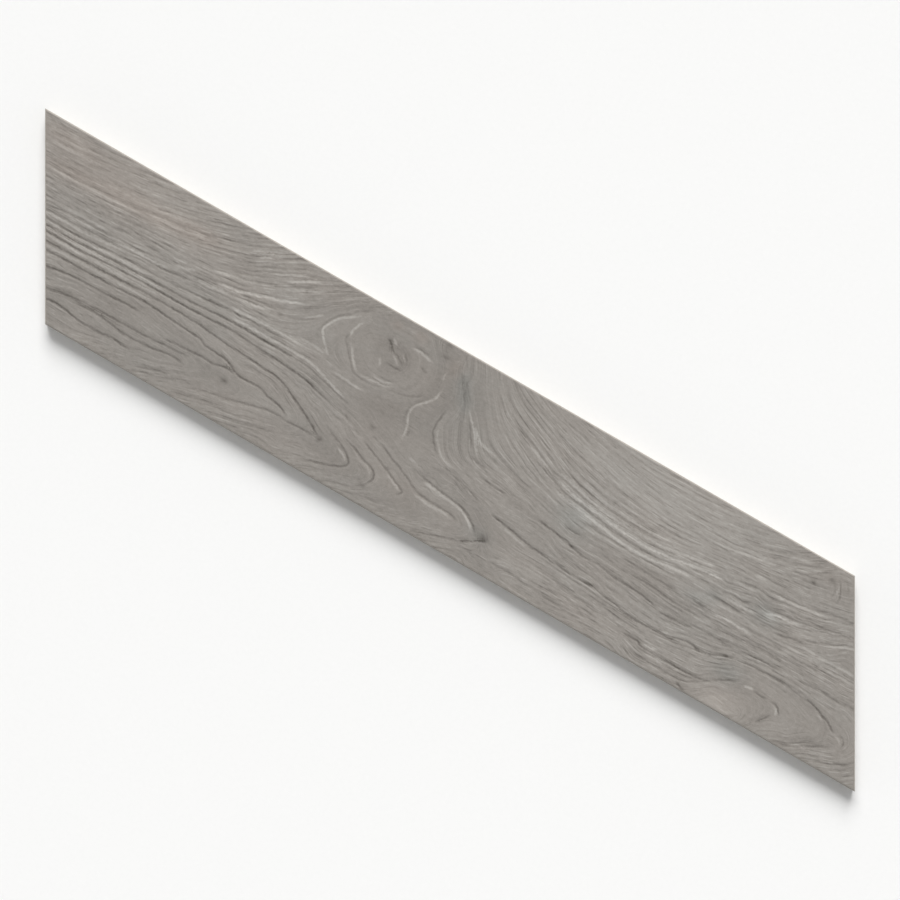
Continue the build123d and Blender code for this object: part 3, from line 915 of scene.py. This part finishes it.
def printed_face(look):
    """Matt glaze with the oak print: grain lines, stained and limed veins, pores and specks."""
    finish = Finish("printed_oak_face")
    x, y, _ = finish.place()
    ring = finish.attribute("ring")
    pace = finish.attribute("pace")
    streak = finish.attribute("streak")
    spots = finish.attribute("spots")
    tone = finish.attribute("tone")
    warm = finish.attribute("warm") + (finish.noise(x * 0.015, y * 0.04, 2.0, detail=3.0) - 0.5) * 1.2
    lively = 1 - finish.attribute("calm")

    # growth lines and pores along the rings, and level pores where the rings are far apart
    along = x + y * 0.6
    level = y + LEVEL_SLOPE * x
    line_spacing = look.line_spacing / MM
    pore_spacing = look.pore_spacing / MM
    ringed = finish.between(pace, *RINGED_PACE)
    lines = finish.along_rings(finish.growth_lines, ring, pace, along, line_spacing, LINE_SEED)
    lines = lines * ringed * lively
    pores = finish.along_rings(finish.pore_dashes, ring, pace, along, pore_spacing, PORE_SEED) * ringed
    level_pores = finish.pore_dashes(level * (1 / pore_spacing), along, LEVEL_PORE_SEED)
    pores = pores + level_pores * (1 - ringed)
    pores = pores * (CALM_PORES + lively * (1 - CALM_PORES))

    # mottle, specks and the ragged, worn sides of the veins
    patch = finish.noise(ring * 0.12, x * 0.03, y * 0.03)
    mottle = finish.noise(x * 0.30, y * 0.55, 5.0, detail=4.0, roughness=0.7)
    speck = finish.noise(x * 1.3, y * 1.3, 3.0, roughness=0.6)
    wear = finish.noise(x * 0.5, y * 0.7, 8.0, detail=3.0, roughness=0.6)
    ragged = finish.noise(x * 0.5, y * 0.5, 12.0, detail=4.0, roughness=0.65) - 0.5
    stain_off = finish.maths("ABSOLUTE", finish.attribute("stain_side") + ragged * 1.3)
    lime_off = finish.maths("ABSOLUTE", finish.attribute("lime_side") + ragged * 1.8)
    stained = finish.attribute("stain") * (1 - finish.between(stain_off, 0.1, 1.1)) * (0.5 + wear)
    limed = finish.attribute("lime") * (1 - finish.between(lime_off, 0.15, 1.2))
    limed = limed * finish.between(wear, 0.15, 0.58)

    # lightness of the print, from stained through plain to limed
    light = 0.5 + tone + (streak - 0.5) * look.streak_contrast + (patch - 0.5) * look.patch_contrast
    light = light + lines * look.line_contrast + pores * look.pore_contrast
    light = light + (mottle - 0.5) * look.mottle_contrast + (speck - 0.5) * look.speck_contrast
    light = light - stained * look.stain_strength - spots * look.spot_strength
    light = light + limed * look.lime_strength
    colour = finish.ramp(light, (0.0, look.stain_colour), (0.5, look.face_colour), (1.0, look.lime_colour))
    for share, tint in ((warm, look.warm_tint), (warm * -1, look.cool_tint)):
        colour = finish.blend(share, colour, tint, "MULTIPLY")
    normal = finish.bump(mottle * 0.4 + speck * 0.2 + lines + pores * 0.3, look.line_depth)
    rough = look.face_roughness + (mottle - 0.5) * 0.12 + stained * 0.08 - limed * 0.04
    return finish.close(Base_Color=colour, Roughness=rough, Normal=normal, Specular_IOR_Level=look.face_gloss)


def ground_body(look):
    """The bare body on the cut edges and the arris, with the fine lines of the grinding wheel."""
    finish = Finish("ground_body")
    x, y, z = finish.place()
    lines = finish.noise(x * 0.02, y * 0.02, z * 3.4, roughness=0.6)
    speck = finish.noise(x * 2.2, y * 2.2, z * 2.2, roughness=0.6)
    grit = finish.between(finish.noise(x * 1.1, y * 1.1, z * 1.1, detail=1.0), 0.66, 0.72)
    patch = finish.noise(x * 0.05, y * 0.05, z * 0.2)
    light = 0.5 + (lines - 0.5) * 0.5 + (speck - 0.5) * 0.3 + (patch - 0.5) * 0.4 - grit * 0.25
    colour = finish.ramp(light, (0.0, look.body_dark), (1.0, look.body_colour))
    normal = finish.bump(lines * 0.6 + speck * 0.5, look.grind_depth)
    rough = look.edge_roughness + (lines - 0.5) * 0.2
    return finish.close(Base_Color=colour, Roughness=rough, Normal=normal, Specular_IOR_Level=look.body_gloss)


def pressed_back(look):
    """The pressed back, with a dusting of kiln wash on the parts that lay on the rollers."""
    finish = Finish("pressed_back")
    x, y, z = finish.place()
    mottle = finish.noise(x * 0.04, y * 0.04, z * 0.1, detail=4.0, roughness=0.6)
    press = finish.noise(x * 1.6, y * 1.6, z * 1.6, detail=3.0, roughness=0.6)
    low = 1.0 - finish.between(z, *WASH_HEIGHTS)
    wash = finish.between(mottle + (press - 0.5) * 0.8, 0.25, 0.8) * low
    light = 0.45 + (mottle - 0.5) * 0.5 + (press - 0.5) * 0.4
    body = finish.ramp(light, (0.0, look.body_dark), (1.0, look.body_colour))
    colour = finish.blend(wash * 0.7, body, look.wash_colour)
    normal = finish.bump(press, look.press_depth)
    rough = look.back_roughness + wash * 0.18
    return finish.close(Base_Color=colour, Roughness=rough, Normal=normal, Specular_IOR_Level=look.body_gloss)


def pale_floor(stage):
    """Smooth seamless studio paper with a faint tooth."""
    finish = Finish("pale_floor")
    x, y, _ = finish.place()
    tooth = finish.noise(x * 0.4, y * 0.4, 1.0, detail=3.0)
    shade = tuple(FLOOR_SHADE * channel for channel in stage.floor_colour)
    colour = finish.ramp(tooth, (0.0, shade), (1.0, stage.floor_colour))
    return finish.close(Base_Color=colour, Roughness=stage.floor_roughness)


def corners_at(verts, level):
    """The four corners at one height, in turn from the lower left."""
    found = [v for v in verts if abs(v.co.z - level) < NEAR]
    if len(found) != 4:
        raise RuntimeError(f"the tile has {len(found)} corners at the height {level}, not 4")
    lower_left, lower_right, upper_left, upper_right = sorted(found, key=lambda v: (v.co.y > 0, v.co.x))
    return [lower_left, lower_right, upper_right, upper_left]


def open_solid(node):
    """Copies the solid's edges and back, and leaves out its face and the arris round the face.

    Gives the open mesh, the corners of the edges' upper rim, and the corners and height of the face."""
    bm = bmesh.new()
    placed = [bm.verts.new(v.co) for v in node.data.vertices]
    for polygon in node.data.polygons:
        bm.faces.new([placed[i] for i in polygon.vertices])
    bmesh.ops.remove_doubles(bm, verts=bm.verts, dist=NEAR)
    for face in bm.faces:
        face.material_index = BACK
    heights = sorted({round(v.co.z, 6) for v in bm.verts})
    rim_level, face_level = heights[-2:]
    face_corners = np.array([v.co for v in corners_at(bm.verts, face_level)])
    top = [face for face in bm.faces if min(v.co.z for v in face.verts) > rim_level - NEAR]
    bmesh.ops.delete(bm, geom=top, context="FACES")
    return bm, corners_at(bm.verts, rim_level), face_corners, face_level


def emboss_face(bm, corners, level, look):
    """Adds the face, a grid that leans with the ends and is sunk where the print is.

    Gives the rows of its vertices and the figure at each."""
    s, t = np.meshgrid(np.linspace(0, 1, look.columns + 1), np.linspace(0, 1, look.rows + 1))
    lower_left, lower_right, _, upper_left = corners
    x = lower_left[0] + s * (lower_right[0] - lower_left[0]) + t * (upper_left[0] - lower_left[0])
    y = lower_left[1] + t * (upper_left[1] - lower_left[1])
    figure = draw_figure(x / MM, y / MM)
    stained = figure["stain"] * np.exp(-(figure["stain_side"] / GROOVE_HALF_WIDTH) ** 2)
    limed = figure["lime"] * np.exp(-(figure["lime_side"] / GROOVE_HALF_WIDTH) ** 2)
    spotted = np.minimum(figure["spots"], 1)
    veined = np.minimum(stained + LIME_DEPTH_SHARE * limed + SPECK_DEPTH_SHARE * spotted, 1)
    z = level - (look.vein_depth * veined + look.streak_depth * (1 - figure["streak"]))
    grid = []
    for row in zip(x, y, z):
        grid.append([bm.verts.new(place) for place in zip(*row)])
    for lower, upper in zip(grid, grid[1:]):
        for corner_verts in zip(lower, lower[1:], upper[1:], upper):
            face = bm.faces.new(corner_verts)
            face.smooth = True
            face.material_index = FACE
    return grid, figure


def join_edges(bm, rim_corners, grid):
    """Divides the upper rim of each edge as the face is divided, and adds the arris between them."""
    bm.normal_update()
    borders = (grid[0], [row[-1] for row in grid], grid[-1][::-1], [row[0] for row in grid][::-1])
    for side, border in enumerate(borders):
        start, end = rim_corners[side], rim_corners[(side + 1) % 4]
        outward = (end.co - start.co).normalized().cross(UP)
        flats = [face for face in bm.faces if face.normal.dot(outward) > SAME_PLANE]
        edge = bmesh.ops.dissolve_faces(bm, faces=flats)["region"][0]
        count = len(border) - 1
        rim = [start] + [bm.verts.new(start.co.lerp(end.co, k / count)) for k in range(1, count)] + [end]
        outline = [loop.vert for loop in edge.loops]
        meet = outline.index(start)
        if outline[meet - 1] != end:
            raise RuntimeError("an edge of the tile has no straight upper rim")
        outline[meet:meet] = rim[-2:0:-1]
        bm.faces.remove(edge)
        bm.faces.new(outline).material_index = EDGE
        for corner_verts in zip(rim, rim[1:], border[1:], border):
            bm.faces.new(corner_verts).material_index = EDGE
    bm.normal_update()


def carve_tile(node, look):
    """Takes the edges and the back of the solid as they are and closes them with an embossed face.

    Gives the mesh and the places of the four corners of the edges' upper rim."""
    bm, rim_corners, face_corners, face_level = open_solid(node)
    rim_places = [v.co.copy() for v in rim_corners]
    grid, figure = emboss_face(bm, face_corners, face_level, look)
    join_edges(bm, rim_corners, grid)
    bm.verts.index_update()
    face_verts = np.array([[v.index for v in row] for row in grid])
    mesh = bpy.data.meshes.new("porcelain_tile")
    bm.to_mesh(mesh)
    bm.free()
    for name, values in figure.items():
        spread = np.zeros(len(mesh.vertices), np.float32)
        spread[face_verts] = values
        mesh.attributes.new(name, "FLOAT", "POINT").data.foreach_set("value", spread)
    return mesh, rim_places


def read_all(items, name, kind, width=1):
    """Reads one value, or one row of values, from every item of a mesh."""
    values = np.empty(len(items) * width, kind)
    items.foreach_get(name, values)
    return values if width == 1 else values.reshape(-1, width)


def lay_out_map(mesh, rim):
    """Lays the face, the back and the four edges apart in the map that finishes are baked to."""
    sizes = read_all(mesh.polygons, "loop_total", int)
    slots = np.repeat(read_all(mesh.polygons, "material_index", int), sizes)
    normals = np.repeat(read_all(mesh.polygons, "normal", np.float32, 3), sizes, axis=0)
    corner = read_all(mesh.vertices, "co", np.float32, 3)[read_all(mesh.loops, "vertex_index", int)]

    across = np.array([rim[1] - rim[0], rim[3] - rim[0]])[:, :2].T
    share = np.linalg.solve(across, (corner[:, :2] - np.array(rim[0])[:2]).T)
    share = CHART_INSET + (1 - 2 * CHART_INSET) * share
    along = share[0].copy()
    on_face = FACE_CHART[0] + FACE_CHART[1] * share[1]
    on_back = BACK_CHART[0] + BACK_CHART[1] * share[1]
    height = np.where(slots == BACK, on_back, on_face)
    upright = (slots == EDGE) & (np.abs(normals[:, 2]) < UPRIGHT)
    for side in range(4):
        direction = rim[(side + 1) % 4] - rim[side]
        outward = np.array(direction.normalized().cross(UP))
        here = upright & (normals @ outward > SAME_SIDE)
        along[here] = share[side % 2][here]
        low = EDGE_CHART[0] + side * EDGE_CHART_STEP
        height[here] = low + EDGE_CHART[1] * corner[here, 2] / rim[0].z
    layer = mesh.uv_layers.new(name="OFBake")
    layer.data.foreach_set("uv", np.stack([along, height], 1).astype(np.float32).ravel())


def add_object(context, name, data):
    """Adds an object to the scene."""
    made = bpy.data.objects.new(name, data)
    context.scene.collection.objects.link(made)
    return made


class TileLook(bpy.types.PropertyGroup):
    """Sizes and colours of the tile's finish."""

    columns: IntProperty(
        name="Columns", description="Cells of the embossed face along the tile", default=530, min=20)
    rows: IntProperty(
        name="Rows", description="Cells of the embossed face across the tile", default=180, min=10)
    vein_depth: FloatProperty(
        name="Vein depth", description="How deep the strongest vein is sunk", default=0.32 * MM,
        unit="LENGTH", precision=5)
    streak_depth: FloatProperty(
        name="Streak depth", description="How deep the streaks between the veins are sunk",
        default=0.05 * MM, unit="LENGTH", precision=5)
    line_spacing: FloatProperty(
        name="Line spacing", description="Distance between the fine lines of the grain", default=3.4 * MM,
        unit="LENGTH", precision=5)
    line_depth: FloatProperty(
        name="Line depth", description="How deep the fine lines of the grain are sunk", default=0.08 * MM,
        unit="LENGTH", precision=5)
    line_contrast: FloatProperty(
        name="Line contrast", description="How far the fine lines change the print's lightness", default=0.17)
    pore_spacing: FloatProperty(
        name="Pore spacing", description="Distance between the rows of pores", default=0.9 * MM,
        unit="LENGTH", precision=5)
    pore_contrast: FloatProperty(
        name="Pore contrast", description="How far the pores change the print's lightness", default=0.20)
    streak_contrast: FloatProperty(
        name="Streak contrast", description="How far the streaks change the print's lightness", default=0.10)
    patch_contrast: FloatProperty(
        name="Patch contrast", description="How far broad patches change the print's lightness", default=0.10)
    mottle_contrast: FloatProperty(
        name="Mottle contrast", description="How far the mottle changes the print's lightness", default=0.30)
    speck_contrast: FloatProperty(
        name="Speck contrast", description="How far the finest specks change the print's lightness",
        default=0.16)
    stain_strength: FloatProperty(
        name="Stain strength", description="How dark the stained veins are", default=0.35)
    spot_strength: FloatProperty(
        name="Spot strength", description="How dark the drawn spots are", default=0.30)
    lime_strength: FloatProperty(
        name="Lime strength", description="How pale the limed veins are", default=0.50)
    face_colour: FloatVectorProperty(
        name="Face colour", description="Middle tone of the print", subtype="COLOR",
        default=paint(144, 139, 133))
    stain_colour: FloatVectorProperty(
        name="Stain colour", description="Darkest tone of the print", subtype="COLOR",
        default=paint(70, 65, 59))
    lime_colour: FloatVectorProperty(
        name="Lime colour", description="Palest tone of the print", subtype="COLOR",
        default=paint(186, 182, 176))
    warm_tint: FloatVectorProperty(
        name="Warm tint", description="Tint over the warmer parts of the print", subtype="COLOR",
        default=(1.0, 0.958, 0.938))
    cool_tint: FloatVectorProperty(
        name="Cool tint", description="Tint over the cooler parts of the print", subtype="COLOR",
        default=(0.945, 0.985, 1.0))
    face_roughness: FloatProperty(
        name="Face roughness", description="How matt the glaze is", subtype="FACTOR", default=0.68,
        min=0.0, max=1.0)
    face_gloss: FloatProperty(
        name="Face gloss", description="How much the glaze reflects", subtype="FACTOR", default=0.28,
        min=0.0, max=1.0)
    body_gloss: FloatProperty(
        name="Body gloss", description="How much the bare body reflects", subtype="FACTOR", default=0.2,
        min=0.0, max=1.0)
    edge_roughness: FloatProperty(
        name="Edge roughness", description="How matt the ground edges are", subtype="FACTOR", default=0.68,
        min=0.0, max=1.0)
    back_roughness: FloatProperty(
        name="Back roughness", description="How matt the pressed back is", subtype="FACTOR", default=0.72,
        min=0.0, max=1.0)
    grind_depth: FloatProperty(
        name="Grinding depth", description="How deep the grinding wheel marks the edges",
        default=0.04 * MM, unit="LENGTH", precision=5)
    press_depth: FloatProperty(
        name="Press depth", description="How rough the press leaves the back", default=0.06 * MM,
        unit="LENGTH", precision=5)
    body_colour: FloatVectorProperty(
        name="Body colour", description="Pale tone of the bare body", subtype="COLOR",
        default=paint(178, 172, 164))
    body_dark: FloatVectorProperty(
        name="Body shade", description="Dark tone of the bare body", subtype="COLOR",
        default=paint(142, 136, 128))
    wash_colour: FloatVectorProperty(
        name="Kiln wash", description="Powder left on the back by the kiln", subtype="COLOR",
        default=paint(228, 225, 219))


class StageLook(bpy.types.PropertyGroup):
    """Sizes, colours and strengths of the studio."""

    floor_colour: FloatVectorProperty(
        name="Floor colour", description="Colour of the studio floor", subtype="COLOR",
        default=paint(246, 246, 245))
    floor_roughness: FloatProperty(
        name="Floor roughness", description="How matt the studio floor is", subtype="FACTOR", default=0.85,
        min=0.0, max=1.0)
    floor_size: FloatProperty(
        name="Floor size", description="Width of the studio floor", default=40.0, unit="LENGTH")
    floor_flat: FloatProperty(
        name="Flat floor", description="How far the floor is flat all round the tile", default=4.0,
        unit="LENGTH")
    floor_rise: FloatProperty(
        name="Floor rise", description="How high the floor's paper sweeps up at its sides", default=5.0,
        unit="LENGTH")
    frame_fill: FloatProperty(
        name="Frame fill", description="Share of the picture's width that the tile takes", default=0.90,
        subtype="FACTOR")
    turn: FloatProperty(
        name="Turn", description="How far the picture is turned on the tile", default=math.radians(30),
        subtype="ANGLE")
    lens: FloatProperty(
        name="Lens", description="Focal length of the camera in millimetres", default=120.0)
    key_strength: FloatProperty(
        name="Key strength", description="Strength of the slanting light", default=3.6)
    key_height: FloatProperty(
        name="Key height", description="Angle of the slanting light above the floor",
        default=math.radians(36), subtype="ANGLE")
    key_spread: FloatProperty(
        name="Key spread", description="Width of the slanting light as an angle",
        default=math.radians(40), subtype="ANGLE")
    sky_strength: FloatProperty(
        name="Sky strength", description="Strength of the light from all round", default=0.34)


class CHEVRON_OT_lay_tile(bpy.types.Operator):
    """Builds the tile's embossed face on the edges and the back of its solid"""

    bl_idname = "chevron.lay_tile"
    bl_label = "Lay the tile"
    bl_options = {"REGISTER", "UNDO"}

    def execute(self, context):
        look = context.scene.tile_look
        mesh, rim = carve_tile(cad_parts[NODE], look)
        lay_out_map(mesh, rim)
        for finish in (printed_face, ground_body, pressed_back):
            mesh.materials.append(finish(look))
        piece = add_object(context, "porcelain_tile", mesh)
        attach(piece, BODY)
        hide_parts(NODE)
        return {"FINISHED"}


class CHEVRON_OT_set_stage(bpy.types.Operator):
    """Sets a pale floor, soft light and a camera that looks straight down on the tile"""

    bl_idname = "chevron.set_stage"
    bl_label = "Set the stage"
    bl_options = {"REGISTER", "UNDO"}

    def execute(self, context):
        stage = context.scene.stage_look
        self.lay_floor(context, stage)
        self.hang_lights(context, stage)
        self.aim_camera(context, stage)
        context.scene.view_settings.view_transform = "Standard"
        return {"FINISHED"}

    def lay_floor(self, context, stage):
        bm = bmesh.new()
        half = stage.floor_size / 2
        bmesh.ops.create_grid(bm, x_segments=FLOOR_CELLS, y_segments=FLOOR_CELLS, size=half)
        for vert in bm.verts:
            past = max(vert.co.length - stage.floor_flat, 0.0) / (half - stage.floor_flat)
            vert.co.z = stage.floor_rise * past**2
        for face in bm.faces:
            face.smooth = True
        mesh = bpy.data.meshes.new("studio_floor")
        bm.to_mesh(mesh)
        bm.free()
        mesh.materials.append(pale_floor(stage))
        floor = add_object(context, "studio_floor", mesh)
        floor.location.z = CAD_BOX[0].z - FLOOR_GAP

    def hang_lights(self, context, stage):
        key = bpy.data.lights.new("key_light", "SUN")
        key.energy = stage.key_strength
        key.angle = stage.key_spread
        lamp = add_object(context, "key_light", key)
        lamp.rotation_euler = (stage.key_height - math.pi / 2, 0.0, stage.turn)
        world = bpy.data.worlds.new("soft_sky")
        world.use_nodes = True
        sky = world.node_tree.nodes["Background"]
        sky.inputs["Color"].default_value = SKY_COLOUR
        sky.inputs["Strength"].default_value = stage.sky_strength
        context.scene.world = world

    def aim_camera(self, context, stage):
        low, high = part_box(NODE)
        middle = (low + high) / 2
        rightward = np.array([math.cos(stage.turn), math.sin(stage.turn)])
        upward = np.array([-math.sin(stage.turn), math.cos(stage.turn)])
        outline = np.array([v.co[:2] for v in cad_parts[NODE].data.vertices])
        span = max(np.ptp(outline @ rightward), np.ptp(outline @ upward))
        lens = bpy.data.cameras.new("camera")
        lens.lens = stage.lens
        lens.clip_end = VIEW_END
        reach = span / stage.frame_fill * stage.lens / lens.sensor_width
        camera = add_object(context, "camera", lens)
        camera.location = (middle.x, middle.y, high.z + reach)
        camera.rotation_euler = (0.0, 0.0, stage.turn)
        context.scene.camera = camera


class CHEVRON_PT_sidebar(bpy.types.Panel):
    """Lists the tile's steps and settings"""

    bl_idname = "CHEVRON_PT_sidebar"
    bl_label = "Chevron tile"
    bl_space_type = "VIEW_3D"
    bl_region_type = "UI"
    bl_category = "Tile"

    def draw(self, context):
        layout = self.layout
        for operator, settings in ((CHEVRON_OT_lay_tile, context.scene.tile_look),
                                   (CHEVRON_OT_set_stage, context.scene.stage_look)):
            layout.operator(operator.bl_idname)
            for name in settings.__annotations__:
                layout.prop(settings, name)


CLASSES = (TileLook, StageLook, CHEVRON_OT_lay_tile, CHEVRON_OT_set_stage, CHEVRON_PT_sidebar)


def register():
    for cls in CLASSES:
        bpy.utils.register_class(cls)
    bpy.types.Scene.tile_look = PointerProperty(type=TileLook)
    bpy.types.Scene.stage_look = PointerProperty(type=StageLook)


def unregister():
    del bpy.types.Scene.stage_look
    del bpy.types.Scene.tile_look
    for cls in reversed(CLASSES):
        bpy.utils.unregister_class(cls)


def main():
    """Builds the tile and its stage."""
    register()
    bpy.ops.chevron.lay_tile()
    bpy.ops.chevron.set_stage()


if __name__ == "__main__":
    main()
